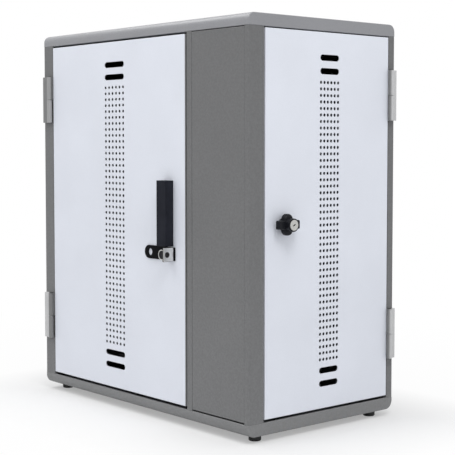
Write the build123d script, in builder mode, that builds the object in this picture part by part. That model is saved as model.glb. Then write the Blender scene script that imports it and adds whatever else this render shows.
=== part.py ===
from build123d import *
import os

# Tablet charging cabinet. Millimetres, +Z up. The front with the wide door faces -Y, and the
# side with the narrow door faces +X. The origin is on the ground, at the middle of the outline.

# Shell
shell_w = 520.0
shell_d = 297.0
shell_h = 588.0
foot_h = 10.0
foot_r = 9.0
foot_inset_x = 20.0
foot_inset_y = 30.5
cap_h = 18.0
base_h = 18.3
long_edge_r = 11.0
base_edge_r = 13.0
end_edge_r = 1.2
seam_chamfer = 0.7
cap_t = 2.0
sheet = 1.5
floor_drop = 6.0
floor_edge_gap = 0.5
outer_bend_r = 2.0
back_return_w = 20.0
ground_z = 0.0

# Posts of the frame, as widths seen from outside
left_stile_w = 27.2
mid_post_w = 11.1
panel_w = 115.6
corner_front_w = 7.7
corner_side_w = 28.7
rear_stile_w = 12.9
lip_depth = 18.0
short_lip = 12.0
strike_leg_w = 9.0
panel_seam_top = 1.2
panel_seam_bottom = 2.2
panel_side_seam = 0.3
panel_return = 10.0
panel_edge_r = 0.8

# Doors
door_gap = 2.0
latch_side_gap = 3.6
front_door_gap_top = 3.2
side_door_gap_top = 1.8
front_door_gap_bottom = 4.4
side_door_gap_bottom = 4.0
door_proud = 1.0
door_t = 18.0
door_sheet = 1.2
door_return_w = 12.0
door_edge_r = 1.0

# Air holes of both doors
hole_r = 2.4
hole_rows = 44
hole_columns = 6
row_pitch = 9.35
front_column_pitch = 9.35
side_column_pitch = 7.0
slot_h = 9.0
front_slot_len = 51.5
side_slot_len = 38.6
outer_slot_z = 236.5
inner_slot_z = 217.2

# Stiffeners inside the doors
stiffener_w = 26.0
stiffener_depth = 10.0
stiffener_flange = 8.0
stiffener_t = 1.2
front_stiffener_x = 62.0
side_stiffener_x = 55.0
stiffener_end_gap = 14.0

# Hinges
hinge_h = 76.0
hinge_top_drop = 69.0
hinge_bottom_rise = 79.9
pin_out = 5.0
front_pin_back = 5.2
side_pin_back = 2.0
hinge_link_gap = 0.4
pin_r = 2.5
pin_clearance = 0.05
knuckle_r = 4.2
knuckle_gap = 0.8
knuckle_side_gap = 0.5
front_leaf_w = 20.65
side_leaf_w = 12.85
leaf_edge_r = 1.0
door_leaf_t = 1.5
door_leaf_depth = 14.0
pin_head_r = 3.4
pin_head_h = 0.8
pin_head_gap = 0.3
leaf_screw_r = 1.5
leaf_screw_head_r = 2.6
leaf_screw_head_h = 1.4
leaf_screw_len = 6.0
leaf_screw_pitch = 50.0
leaf_screw_in = 4.9
hole_clearance = 0.1

# Front latch: a fixed pull, a fixed padlock eye and a turning padlock tab with its cam
latch_drop = 49.5
latch_to_edge = 29.9
latch_plate_t = 2.2
latch_plate_h = 20.0
latch_plate_left = 65.5
latch_plate_right = 7.5
latch_plate_edge_r = 0.6
latch_plate_end_relief = 0.1
eye_r = 5.5
eye_to_hub = 52.0
pull_w = 22.0
pull_h = 97.0
pull_out = 15.0
pull_rise = 11.8
pull_edge_r = 1.2
pull_shift = 8.5
pull_recess_depth = 7.0
pull_recess_h = 70.0
pull_recess_out = 3.0
pull_recess_w = 8.0
hub_r = 7.5
hub_base_h = 0.8
hub_gap = 0.3
hub_out = 19.6
hub_ring_t = 0.9
hub_ring_h = 0.9
tab_t = 2.2
tab_h = 21.0
tab_out = 21.5
tab_shift = 5.2
tab_hole_r = 4.3
tab_hole_in = 7.0
tab_corner_r = 1.0
tab_edge_r = 2.1
hub_bore_clearance = 0.2
spindle_r = 4.0
spindle_clearance = 0.3
spindle_over_nut = 1.0
latch_cam_len = 39.0
cam_w = 14.0
cam_t = 3.0
cam_behind_leg = 0.7
cam_nut_r = 6.5
cam_nut_h = 3.5
cam_spacer_r = 6.5
spacer_gap = 0.3

# Side lock: a wing knob with a key plug, and its cam
knob_to_edge = 32.3
knob_base_r = 8.6
knob_base_h = 3.0
knob_base_edge_r = 1.2
knob_stem_r = 8.0
knob_lobe_w = 17.5
knob_lobe_tall = 30.6
knob_lobe_corner_r = 8.2
knob_lobe_start = 6.0
knob_lobe_end = 14.6
knob_lobe_edge_r = 4.0
knob_rim_r = 0.8
knob_base_gap = 0.4
wing_len = 37.6
wing_h = 12.5
wing_start = 7.0
wing_end = 16.5
wing_corner_r = 2.0
wing_edge_r = 1.2
knob_nose_r = 9.4
knob_out = 24.0
plug_r = 7.5
plug_clearance = 0.06
plug_depth = 15.0
plug_proud = 0.3
keyway_w = 1.9
keyway_h = 5.4
keyway_turn = 65.0
keyway_depth = 3.0
side_cam_len = 40.0

# Bays for the tablets
bay_count = 12
shelf_t = 1.5
shelf_front_back = 30.0
cable_gutter = 34.0
shelf_corner_r = 8.0
cleat_w = 10.0
cleat_t = 1.5
cleat_end_gap = 12.0
lead_gap = 28.0

# Power side
tray_count = 3
tray_w = 92.0
tray_t = 1.5
tray_front_back = 34.0
tray_back_gap = 66.0
tray_lip = 12.0
tray_slot_w = 6.0
tray_slot_len = 50.0
tray_slot_count = 5
tray_slot_pitch = 32.0
tray_flange = 14.0
strip_w = 44.0
strip_t = 34.0
strip_h = 470.0
strip_side = 6.0
strip_bottom = 50.0
outlet_count = 12
outlet_pitch = 38.0
outlet_r = 16.5
outlet_t = 2.0
outlet_pin_r = 2.4
outlet_pin_pitch = 19.0
outlet_earth_drop = -9.0
outlet_floor = 0.6
strip_edge_r = 3.0
control_w = 70.0
control_d = 120.0
control_h = 46.0
control_side = 16.0
control_front = 60.0
control_light_r = 2.0
control_light_t = 1.0
control_light_pitch = 12.0
inlet_w = 27.0
inlet_h = 20.0
inlet_flange_w = 50.0
inlet_flange_h = 28.0
inlet_flange_t = 1.4
inlet_depth = 24.0
inlet_side = 50.0
inlet_rise = 50.0
inlet_wall = 3.0
inlet_pin_w = 4.0
inlet_pin_t = 2.0
inlet_pin_len = 14.0
inlet_pin_pitch = 7.0
inlet_pin_drop = 2.5
rocker_w = 12.5
rocker_h = 19.0
rocker_wall = 2.0
rocker_depth = 14.0
rocker_rise = 60.0
rocker_gap = 1.0
rocker_tilt = 8.0
rocker_in = 5.0
rocker_body = 10.0
rocker_pin_r = 1.2
rocker_pin_len = 1.0
rocker_edge = 0.8
rocker_flange = 2.0
rocker_flange_t = 1.4

# Back panel
back_panel_in = 4.0
vent_count = 4
vent_len = 40.0
vent_w = 5.0
vent_pitch = 12.0
vent_rise = 400.0
vent_right_in = 46.0
vent_left_in = 170.0
wall_hole_r = 4.0
wall_hole_pitch_x = 406.4
wall_hole_pitch_z = 406.4

# Door rests, feet and fasteners
pad_r = 3.5
pad_t = 0.7
pad_count = 3
pad_pitch = 200.0
foot_screw_r = 2.5
foot_screw_head_r = 4.8
foot_screw_head_h = 2.5
foot_screw_up = 6.0
foot_recess = 3.0
foot_chamfer = 1.0
foot_head_clearance = 0.4

# The front latch sets how far the cabinet reaches forward, and the knob how far to the right.
front_reach = door_proud + tab_out
side_reach = door_proud + knob_out + plug_proud

# Planes of the shell
x_right = (shell_w - side_reach) / 2
x_left = x_right - shell_w
y_back = (shell_d + front_reach) / 2
y_front = y_back - shell_d
y_mid = (y_front + y_back) / 2
x_mid = (x_left + x_right) / 2
z_under = ground_z + foot_h
z_top = z_under + shell_h
z_low = z_under + base_h
z_high = z_top - cap_h
body_h = z_high - z_low
floor_z = z_low - floor_drop

# Door edges
front_door_left = x_left + left_stile_w + door_gap
mid_post_right = x_right - corner_front_w - panel_w
mid_post_left = mid_post_right - mid_post_w
front_door_right = mid_post_left - latch_side_gap
front_door_w = front_door_right - front_door_left
front_door_x = (front_door_left + front_door_right) / 2
front_door_y = y_front - door_proud
side_door_front = y_front + corner_side_w + door_gap
side_door_back = y_back - rear_stile_w - door_gap
side_door_w = side_door_back - side_door_front
side_door_y = (side_door_front + side_door_back) / 2
side_door_x = x_right + door_proud
front_door_bottom = z_low + front_door_gap_bottom
front_door_top = z_high - front_door_gap_top
front_door_h = front_door_top - front_door_bottom
front_door_z = (front_door_bottom + front_door_top) / 2
side_door_bottom = z_low + side_door_gap_bottom
side_door_top = z_high - side_door_gap_top
side_door_h = side_door_top - side_door_bottom
side_door_z = (side_door_bottom + side_door_top) / 2

pieces = {}


# Caps and decks. Each cap is a tray of sheet with its long edges rounded, and the floor lies
# deeper than the rim of the base cap.
def cap_tray(z_from, z_to, edge_r, round_top, screw_places=()):
    height = z_to - z_from
    with BuildPart() as tray:
        with BuildSketch(Plane.YZ.offset(x_left)) as outline:
            with Locations((y_mid, (z_from + z_to) / 2)):
                Rectangle(shell_d, height)
            rounded = outline.vertices().group_by(Axis.Y)[-1 if round_top else 0]
            fillet(rounded, edge_r)
        extrude(amount=shell_w)
        end_edges = tray.faces().filter_by(Axis.X).edges()
        seam_z = z_from if round_top else z_to
        on_seam = end_edges.filter_by(lambda edge: abs(edge.center().Z - seam_z) < 0.01)
        fillet(end_edges - on_seam, end_edge_r)
        seam_edges = tray.faces().filter_by(Axis.Z).sort_by(Axis.Z)[0 if round_top else -1].edges()
        chamfer(seam_edges, seam_chamfer)
        with BuildSketch(Plane.YZ.offset(x_left + cap_t)) as hollow:
            lift = -cap_t if round_top else cap_t
            with Locations((y_mid, (z_from + z_to) / 2 + lift)):
                Rectangle(shell_d - 2 * cap_t, height)
            inner = hollow.vertices().group_by(Axis.Y)[-1 if round_top else 0]
            fillet(inner, edge_r - cap_t)
        extrude(amount=shell_w - 2 * cap_t, mode=Mode.SUBTRACT)
        if screw_places:
            with BuildSketch(Plane.XY.offset(z_from)):
                with Locations(*screw_places):
                    Circle(foot_screw_r + hole_clearance)
            extrude(amount=cap_t, mode=Mode.SUBTRACT)
    return tray


foot_x = [x_left + foot_inset_x, x_right - foot_inset_x]
foot_y = [y_front + foot_inset_y, y_back - foot_inset_y]
foot_places = [(x, y) for x in foot_x for y in foot_y]
pieces["top_cap"] = cap_tray(z_high, z_top, long_edge_r, True)
pieces["base_cap"] = cap_tray(z_under, z_low, base_edge_r, False, foot_places)


def deck(z_from, depth):
    with BuildPart() as plate:
        with BuildSketch(Plane.XY.offset(z_from)):
            with Locations((x_mid, y_mid)):
                Rectangle(shell_w - 2 * cap_t, depth)
        extrude(amount=sheet)
    return plate


deck_d = shell_d - 2 * cap_t
pieces["floor_deck"] = deck(floor_z - sheet, deck_d - 2 * floor_edge_gap)
pieces["ceiling_deck"] = deck(z_high, deck_d)


# A bar of the plan view, given by its low and high corner.
def plan_bar(x_from, x_to, y_from, y_to, mode=Mode.ADD):
    with Locations(((x_from + x_to) / 2, (y_from + y_to) / 2)):
        Rectangle(x_to - x_from, y_to - y_from, mode=mode)


# Hinges. In each local plane x points from the door to the stile and y points outwards.
hinge_zs = [z_top - hinge_top_drop - hinge_h / 2, z_under + hinge_bottom_rise + hinge_h / 2]
front_pivot_x = front_door_left - front_pin_back
front_pivot_y = y_front - pin_out
side_pivot_x = x_right + pin_out
side_pivot_y = side_door_back + side_pin_back
front_hinge_planes = [
    Plane(origin=(front_pivot_x, front_pivot_y, z), x_dir=(-1, 0, 0), z_dir=(0, 0, 1))
    for z in hinge_zs
]
side_hinge_planes = [
    Plane(origin=(side_pivot_x, side_pivot_y, z), x_dir=(0, 1, 0), z_dir=(0, 0, -1))
    for z in hinge_zs
]


# A block between two heights of a local plane; up is 1 or -1, as the plane's z points up or down.
def local_block(plane, up, heights, x_span, y_span, edge_r=0):
    low, high = sorted(up * height for height in heights)
    with BuildSketch(plane.offset(low)) as section:
        with Locations((sum(x_span) / 2, sum(y_span) / 2)):
            Rectangle(abs(x_span[1] - x_span[0]), abs(y_span[1] - y_span[0]))
        if edge_r:
            outer = section.vertices().group_by(Axis.Y)[-1].sort_by(Axis.X)[-1]
            fillet(outer, edge_r)
    extrude(section.sketch, amount=high - low)


def local_round(plane, up, heights, radius, mode=Mode.ADD):
    low, high = sorted(up * height for height in heights)
    with BuildSketch(plane.offset(low)) as section:
        Circle(radius)
    extrude(section.sketch, amount=high - low, mode=mode)


# Screws of a leaf: two per hinge. Along local y for the stile leaf, along local x for the door leaf.
def stile_screw_planes(plane, leaf_w):
    return [
        Plane(
            origin=plane.from_local_coords((leaf_w - leaf_screw_in, -pin_out, side * leaf_screw_pitch / 2)),
            z_dir=plane.y_dir,
        )
        for side in (-1, 1)
    ]


def door_screw_planes(plane, back):
    depth = pin_out + door_leaf_depth / 2
    return [
        Plane(
            origin=plane.from_local_coords((-back, -depth, side * leaf_screw_pitch / 2)),
            z_dir=plane.x_dir,
        )
        for side in (-1, 1)
    ]


def drill(planes, start, length, radius):
    for plane in planes:
        with BuildSketch(plane.offset(start)) as bore:
            Circle(radius)
        extrude(bore.sketch, amount=length, mode=Mode.SUBTRACT)


front_stile_screws = [p for plane in front_hinge_planes for p in stile_screw_planes(plane, front_leaf_w)]
side_stile_screws = [p for plane in side_hinge_planes for p in stile_screw_planes(plane, side_leaf_w)]
front_door_screws = [p for plane in front_hinge_planes for p in door_screw_planes(plane, front_pin_back)]
side_door_screws = [p for plane in side_hinge_planes for p in door_screw_planes(plane, side_pin_back)]

# Left wall, folded round to the front stile and to the back
left_stile_edge = x_left + left_stile_w
with BuildPart() as left_panel:
    with BuildSketch(Plane.XY.offset(z_low)) as plan:
        plan_bar(x_left, x_left + sheet, y_front, y_back)
        plan_bar(x_left, left_stile_edge, y_front, y_front + sheet)
        plan_bar(left_stile_edge - sheet, left_stile_edge, y_front, y_front + lip_depth)
        plan_bar(x_left, x_left + back_return_w, y_back - sheet, y_back)
        outer = plan.vertices().group_by(Axis.X)[0]
        fillet(outer, outer_bend_r)
    extrude(amount=body_h)
    drill(front_stile_screws, -sheet, sheet, leaf_screw_r + hole_clearance)
pieces["left_panel"] = left_panel

# Front post between the wide door and the grey panel, with the leg that the cam catches
with BuildPart() as mid_post:
    with BuildSketch(Plane.XY.offset(z_low)):
        plan_bar(mid_post_left, mid_post_right, y_front, y_front + sheet)
        plan_bar(mid_post_left, mid_post_left + sheet, y_front, y_front + lip_depth)
        plan_bar(
            mid_post_left - strike_leg_w,
            mid_post_left + sheet,
            y_front + lip_depth,
            y_front + lip_depth + sheet,
        )
        plan_bar(mid_post_right - sheet, mid_post_right, y_front, y_front + short_lip)
    extrude(amount=body_h)
pieces["mid_post"] = mid_post

# Corner post, seen as a narrow strip in front and as the wide stile of the side
side_stile_edge = y_front + corner_side_w
with BuildPart() as corner_post:
    with BuildSketch(Plane.XY.offset(z_low)) as plan:
        plan_bar(x_right - corner_front_w, x_right, y_front, y_front + sheet)
        plan_bar(x_right - corner_front_w, x_right - corner_front_w + sheet, y_front, y_front + short_lip)
        plan_bar(x_right - sheet, x_right, y_front, side_stile_edge)
        plan_bar(x_right - lip_depth, x_right, side_stile_edge - sheet, side_stile_edge)
        plan_bar(
            x_right - lip_depth - sheet,
            x_right - lip_depth,
            side_stile_edge - sheet,
            side_stile_edge + strike_leg_w,
        )
        outer = plan.vertices().group_by(Axis.X)[-1].sort_by(Axis.Y)[0]
        fillet(outer, outer_bend_r)
    extrude(amount=body_h)
pieces["corner_post"] = corner_post

# Rear post, which carries the hinges of the side door
rear_stile_edge = y_back - rear_stile_w
with BuildPart() as rear_post:
    with BuildSketch(Plane.XY.offset(z_low)) as plan:
        plan_bar(x_right - sheet, x_right, rear_stile_edge, y_back)
        plan_bar(x_right - lip_depth, x_right, rear_stile_edge, rear_stile_edge + sheet)
        plan_bar(x_right - back_return_w, x_right, y_back - sheet, y_back)
        outer = plan.vertices().group_by(Axis.X)[-1].sort_by(Axis.Y)[-1]
        fillet(outer, outer_bend_r)
    extrude(amount=body_h)
    drill(side_stile_screws, -sheet, sheet, leaf_screw_r + hole_clearance)
pieces["rear_post"] = rear_post

# Grey front panel: a shallow pan between the mid post and the corner post
panel_left = mid_post_right + panel_side_seam
panel_right = x_right - corner_front_w - panel_side_seam
panel_low = z_low + panel_seam_bottom
panel_high = z_high - panel_seam_top
with BuildPart() as front_panel:
    with BuildSketch(Plane.XY.offset(panel_low)):
        plan_bar(panel_left, panel_right, y_front, y_front + panel_return)
    extrude(amount=panel_high - panel_low)
    fillet(front_panel.faces().sort_by(Axis.Y)[0].edges(), panel_edge_r)
    with BuildSketch(Plane.XY.offset(panel_low + sheet)):
        plan_bar(panel_left + sheet, panel_right - sheet, y_front + sheet, y_front + panel_return)
    extrude(amount=panel_high - panel_low - 2 * sheet, mode=Mode.SUBTRACT)
pieces["front_panel"] = front_panel

# Bay pitch from the clear height
bay_pitch = (body_h - (bay_count - 1) * shelf_t) / bay_count + shelf_t
shelf_zs = [z_low + number * bay_pitch - shelf_t for number in range(1, bay_count)]

# Divider between the tablet bays and the power side; the leads pass behind it
divider_front = y_front + short_lip
back_panel_y = y_back - 2 * sheet
divider_back = back_panel_y - lead_gap
with BuildPart() as divider:
    with BuildSketch(Plane.XY.offset(floor_z)):
        plan_bar(mid_post_right - sheet, mid_post_right, divider_front, divider_back)
    extrude(amount=z_high - floor_z)
pieces["divider"] = divider

# Back panel with its air slots, wall bolt holes and the cut-outs of the power inlet and switch
inlet_x = x_right - inlet_side
inlet_z = z_low + inlet_rise
rocker_z = inlet_z + rocker_rise
vent_z = z_low + vent_rise
wall_hole_z = z_under + shell_h / 2
with BuildPart() as back_panel:
    with BuildSketch(Plane.XY.offset(z_low)):
        plan_bar(x_left + back_panel_in, x_right - back_panel_in, back_panel_y, back_panel_y + sheet)
    extrude(amount=body_h)
    with BuildSketch(Plane.XZ.offset(-back_panel_y - sheet)):
        with Locations((inlet_x, inlet_z)):
            Rectangle(inlet_w + 2 * hole_clearance, inlet_h + 2 * hole_clearance)
        with Locations((inlet_x, rocker_z)):
            rocker_cut_w = rocker_w + 2 * (rocker_gap + rocker_wall + hole_clearance)
            rocker_cut_h = rocker_h + 2 * (rocker_gap + rocker_wall + hole_clearance)
            Rectangle(rocker_cut_w, rocker_cut_h)
        with Locations((x_mid, wall_hole_z)):
            with GridLocations(wall_hole_pitch_x, wall_hole_pitch_z, 2, 2):
                Circle(wall_hole_r)
        with Locations((x_right - vent_right_in, vent_z), (x_left + vent_left_in, vent_z)):
            with GridLocations(0, vent_pitch, 1, vent_count):
                SlotOverall(vent_len, vent_w)
    extrude(amount=sheet, mode=Mode.SUBTRACT)
pieces["back_panel"] = back_panel

# Tablet shelves: flat plates with rounded front corners
shelf_left = x_left + sheet
shelf_right = mid_post_right - sheet
shelf_front = y_front + shelf_front_back
shelf_back = back_panel_y - cable_gutter
for number, shelf_z in enumerate(shelf_zs, start=1):
    with BuildPart() as shelf:
        with BuildSketch(Plane.XY.offset(shelf_z)) as plan:
            plan_bar(shelf_left, shelf_right, shelf_front, shelf_back)
            fillet(plan.vertices().group_by(Axis.Y)[0], shelf_corner_r)
        extrude(amount=shelf_t)
    pieces[f"shelf_{number:02d}"] = shelf

# Angle cleats under each shelf, on the left wall and on the divider
with BuildPart() as shelf_cleats:
    for shelf_z in shelf_zs:
        with BuildSketch(Plane.XY.offset(shelf_z - cleat_t)):
            plan_bar(shelf_left, shelf_left + cleat_w, shelf_front + cleat_end_gap, shelf_back - cleat_end_gap)
            plan_bar(shelf_right - cleat_w, shelf_right, shelf_front + cleat_end_gap, shelf_back - cleat_end_gap)
        extrude(amount=cleat_t)
        with BuildSketch(Plane.XY.offset(shelf_z - cleat_w)):
            plan_bar(shelf_left, shelf_left + cleat_t, shelf_front + cleat_end_gap, shelf_back - cleat_end_gap)
            plan_bar(shelf_right - cleat_t, shelf_right, shelf_front + cleat_end_gap, shelf_back - cleat_end_gap)
        extrude(amount=cleat_w)
pieces["shelf_cleats"] = shelf_cleats


# A folded door pan lying face down on a plane: x across, y up the door, z towards the inside.
def door_pan(plane, width, height, column_pitch, slot_len, lock_x, lock_y, screws):
    with BuildPart() as pan:
        with BuildSketch(plane):
            Rectangle(width, height)
        extrude(amount=door_t)
        outside = pan.faces().sort_by(Axis(plane.origin, plane.z_dir))[0]
        fillet(outside.edges(), door_edge_r)
        with BuildSketch(plane.offset(door_sheet)):
            Rectangle(width - 2 * door_sheet, height - 2 * door_sheet)
        extrude(amount=door_t - 2 * door_sheet, mode=Mode.SUBTRACT)
        with BuildSketch(plane.offset(door_sheet)):
            Rectangle(width - 2 * door_return_w, height - 2 * door_return_w)
        extrude(amount=door_t, mode=Mode.SUBTRACT)
        with BuildSketch(plane):
            with GridLocations(column_pitch, row_pitch, hole_columns, hole_rows):
                Circle(hole_r)
            slot_ys = [outer_slot_z, inner_slot_z, -inner_slot_z, -outer_slot_z]
            with Locations(*[(0, y) for y in slot_ys]):
                SlotOverall(slot_len, slot_h)
            with Locations((lock_x, lock_y)):
                Circle(spindle_r + spindle_clearance)
        extrude(amount=door_sheet, mode=Mode.SUBTRACT)
        drill(screws, -door_sheet, door_sheet, leaf_screw_r + hole_clearance)
    return pan


# Local planes of the doors: seen from outside, local x runs to the viewer's left.
front_plane = Plane(
    origin=(front_door_x, front_door_y, front_door_z), x_dir=(-1, 0, 0), z_dir=(0, 1, 0)
)
side_plane = Plane(
    origin=(side_door_x, side_door_y, side_door_z), x_dir=(0, -1, 0), z_dir=(-1, 0, 0)
)

hub_local_x = -(front_door_w / 2 - latch_to_edge)
knob_local_x = side_door_w / 2 - knob_to_edge
front_door = door_pan(
    front_plane,
    front_door_w,
    front_door_h,
    front_column_pitch,
    front_slot_len,
    hub_local_x,
    -latch_drop,
    front_door_screws,
)
pieces["front_door"] = front_door
side_door = door_pan(
    side_plane,
    side_door_w,
    side_door_h,
    side_column_pitch,
    side_slot_len,
    knob_local_x,
    0,
    side_door_screws,
)
pieces["side_door"] = side_door


# Two hat-section stiffeners inside each door, flanges against the skin
def door_stiffeners(plane, height, offset_x):
    length = height - 2 * (door_sheet + stiffener_end_gap)
    crown_w = stiffener_w - 2 * stiffener_flange
    with BuildPart() as hats:
        for side in (-1, 1):
            with BuildSketch(plane.offset(door_sheet)):
                with Locations((side * offset_x, 0)):
                    Rectangle(stiffener_w, length)
            extrude(amount=stiffener_t)
            with BuildSketch(plane.offset(door_sheet)):
                with Locations((side * offset_x, 0)):
                    Rectangle(crown_w, length)
            extrude(amount=stiffener_depth)
            with BuildSketch(plane.offset(door_sheet)):
                with Locations((side * offset_x, 0)):
                    Rectangle(crown_w - 2 * stiffener_t, length)
            extrude(amount=stiffener_depth - stiffener_t, mode=Mode.SUBTRACT)
    return hats


pieces["front_stiffeners"] = door_stiffeners(front_plane, front_door_h, front_stiffener_x)
pieces["side_stiffeners"] = door_stiffeners(side_plane, side_door_h, side_stiffener_x)

half_hinge = hinge_h / 2
half_gap = knuckle_gap / 2
leaf_drill_depth = leaf_screw_len - sheet - leaf_screw_head_h


def stile_leaves(planes, up, leaf_w):
    with BuildPart() as leaves:
        for plane in planes:
            inner_x = knuckle_r + knuckle_side_gap
            heights = (-half_hinge, half_hinge)
            local_block(plane, up, heights, (inner_x, leaf_w), (-pin_out, 0), leaf_edge_r)
            local_block(plane, up, (-half_hinge, -half_gap), (0, inner_x), (-pin_out, 0))
            local_round(plane, up, (-half_hinge, -half_gap), knuckle_r)
            local_round(plane, up, (-half_hinge, -half_gap), pin_r + pin_clearance, Mode.SUBTRACT)
            drill(stile_screw_planes(plane, leaf_w), 0, leaf_drill_depth, leaf_screw_r + hole_clearance)
    return leaves


# The door leaf lies in the gap beside the door, and a link joins it to its knuckle over the stile.
def door_leaves(planes, up, back):
    near = door_leaf_t - back
    with BuildPart() as leaves:
        for plane in planes:
            deep = -(pin_out + door_leaf_depth)
            local_block(plane, up, (-half_hinge, half_hinge), (-back, near), (deep, -pin_out))
            local_block(plane, up, (half_gap, half_hinge), (-back, near), (-pin_out, 0))
            local_block(plane, up, (half_gap, half_hinge), (near, 0), (hinge_link_gap - pin_out, 0))
            local_round(plane, up, (half_gap, half_hinge), knuckle_r)
            local_round(plane, up, (half_gap, half_hinge), pin_r + pin_clearance, Mode.SUBTRACT)
            drill(door_screw_planes(plane, back), 0, door_leaf_t, leaf_screw_r + hole_clearance)
    return leaves


def hinge_pins(planes, up):
    with BuildPart() as pins:
        for plane in planes:
            local_round(plane, up, (-half_hinge, half_hinge + pin_head_gap), pin_r)
            local_round(plane, up, (-half_hinge - pin_head_h, -half_hinge), pin_head_r)
            head_low = half_hinge + pin_head_gap
            local_round(plane, up, (head_low, head_low + pin_head_h), pin_head_r)
    return pins


def leaf_screws(screw_planes, wall, shank):
    with BuildPart() as screws:
        for plane in screw_planes:
            with BuildSketch(plane.offset(-wall)):
                Circle(leaf_screw_r)
            extrude(amount=wall + shank)
            with BuildSketch(plane.offset(-wall - leaf_screw_head_h)):
                Circle(leaf_screw_head_r)
            extrude(amount=leaf_screw_head_h)
    return screws


pieces["front_stile_leaves"] = stile_leaves(front_hinge_planes, 1, front_leaf_w)
pieces["side_stile_leaves"] = stile_leaves(side_hinge_planes, -1, side_leaf_w)
pieces["front_door_leaves"] = door_leaves(front_hinge_planes, 1, front_pin_back)
pieces["side_door_leaves"] = door_leaves(side_hinge_planes, -1, side_pin_back)
pieces["front_hinge_pins"] = hinge_pins(front_hinge_planes, 1)
pieces["side_hinge_pins"] = hinge_pins(side_hinge_planes, -1)
stile_shank = leaf_drill_depth - hole_clearance
pieces["stile_leaf_screws"] = leaf_screws(front_stile_screws + side_stile_screws, sheet, stile_shank)
pieces["front_leaf_screws"] = leaf_screws(front_door_screws, door_sheet, door_leaf_t)
pieces["side_leaf_screws"] = leaf_screws(side_door_screws, door_sheet, door_leaf_t)

# Front latch. Its planes face outwards, local x to the right and local y up.
hub_x = front_door_right - latch_to_edge
hub_z = front_door_z - latch_drop
cam_y = y_front + lip_depth + sheet + cam_behind_leg


def front_face(out):
    return Plane(origin=(hub_x, front_door_y - out, hub_z), x_dir=(1, 0, 0), z_dir=(0, -1, 0))


with BuildPart() as latch_plate:
    with BuildSketch(front_face(0)) as outline:
        plan_bar(-latch_plate_left, latch_plate_right, -latch_plate_h / 2, latch_plate_h / 2)
        fillet(outline.vertices().group_by(Axis.X)[0], latch_plate_h / 2 - latch_plate_end_relief)
        Circle(spindle_r + spindle_clearance, mode=Mode.SUBTRACT)
        with Locations((-eye_to_hub, 0)):
            Circle(eye_r, mode=Mode.SUBTRACT)
    extrude(amount=latch_plate_t)
    fillet(latch_plate.faces().sort_by(Axis.Y)[0].outer_wire().edges(), latch_plate_edge_r)
pieces["latch_plate"] = latch_plate

with BuildPart() as pull_handle:
    with BuildSketch(front_face(0)):
        with Locations((-pull_shift, pull_rise + pull_h / 2)):
            Rectangle(pull_w, pull_h)
    extrude(amount=pull_out)
    fillet(pull_handle.faces().sort_by(Axis.Y)[0].edges(), pull_edge_r)
    with BuildSketch(front_face(pull_recess_out)):
        recess_x = -pull_shift - pull_w / 2 + pull_recess_depth / 2
        with Locations((recess_x, pull_rise + pull_h / 2)):
            Rectangle(pull_recess_depth, pull_recess_h)
    extrude(amount=pull_recess_w, mode=Mode.SUBTRACT)
pieces["pull_handle"] = pull_handle

# The hub is cut away on its right for the padlock tab, which stands on its flat. A bore runs on
# from the tab's hole through the hub, for the shackle. The tab's right edges are rounded, so that
# it turns clear of the pull.
tab_left = tab_shift - tab_t / 2
tab_side = Plane(
    origin=(hub_x + tab_left, front_door_y - tab_out + tab_hole_in, hub_z),
    x_dir=(0, 1, 0),
    z_dir=(1, 0, 0),
)
hub_low = latch_plate_t + hub_gap
hub_step = hub_low + hub_base_h
spindle_end = cam_y + cam_t + cam_nut_h + spindle_over_nut
with BuildPart() as latch_hub:
    with BuildSketch(front_face(hub_low)):
        Circle(hub_r)
    extrude(amount=hub_out - hub_low)
    with BuildSketch(front_face(hub_step)):
        plan_bar(tab_left, hub_r + tab_t, -hub_r, hub_r)
    extrude(amount=hub_out, mode=Mode.SUBTRACT)
    with BuildSketch(tab_side):
        Circle(tab_hole_r + hub_bore_clearance)
    extrude(amount=-(hub_r + tab_left), mode=Mode.SUBTRACT)
    with BuildSketch(front_face(hub_low)):
        Circle(spindle_r)
    extrude(amount=-(spindle_end - front_door_y + hub_low))
pieces["latch_hub"] = latch_hub

with BuildPart() as hub_ring:
    with BuildSketch(front_face(hub_out)):
        Circle(hub_r)
        Circle(hub_r - hub_ring_t, mode=Mode.SUBTRACT)
        plan_bar(tab_left, hub_r + tab_t, -hub_r, hub_r, Mode.SUBTRACT)
    extrude(amount=hub_ring_h)
pieces["hub_ring"] = hub_ring

with BuildPart() as padlock_tab:
    with BuildSketch(front_face(hub_step)) as section:
        plan_bar(tab_left, tab_left + tab_t, -tab_h / 2, tab_h / 2)
        fillet(section.vertices().group_by(Axis.X)[-1], tab_edge_r)
    extrude(amount=tab_out - hub_step)
    outer_corners = padlock_tab.faces().sort_by(Axis.Y)[0].edges().filter_by(Axis.X)
    fillet(outer_corners, tab_corner_r)
    with BuildSketch(tab_side):
        Circle(tab_hole_r)
    extrude(amount=tab_t, mode=Mode.SUBTRACT)
pieces["padlock_tab"] = padlock_tab


# A cam, its spacer and its nut behind a door. The plane faces outwards at the cam's outer face.
def cam_arm(plane, length):
    with BuildPart() as cam:
        with BuildSketch(plane):
            Circle(cam_w / 2)
            plan_bar(-cam_w / 2, cam_w / 2, -length, 0)
            Circle(spindle_r + hole_clearance, mode=Mode.SUBTRACT)
        extrude(amount=-cam_t)
    return cam


def cam_fixings(plane, spacer_len):
    with BuildPart() as fixings:
        with BuildSketch(plane):
            Circle(cam_spacer_r)
            Circle(spindle_r + hole_clearance, mode=Mode.SUBTRACT)
        extrude(amount=spacer_len)
        with BuildSketch(plane.offset(-cam_t)):
            RegularPolygon(cam_nut_r, 6)
            Circle(spindle_r + hole_clearance, mode=Mode.SUBTRACT)
        extrude(amount=-cam_nut_h)
    return fixings


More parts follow.
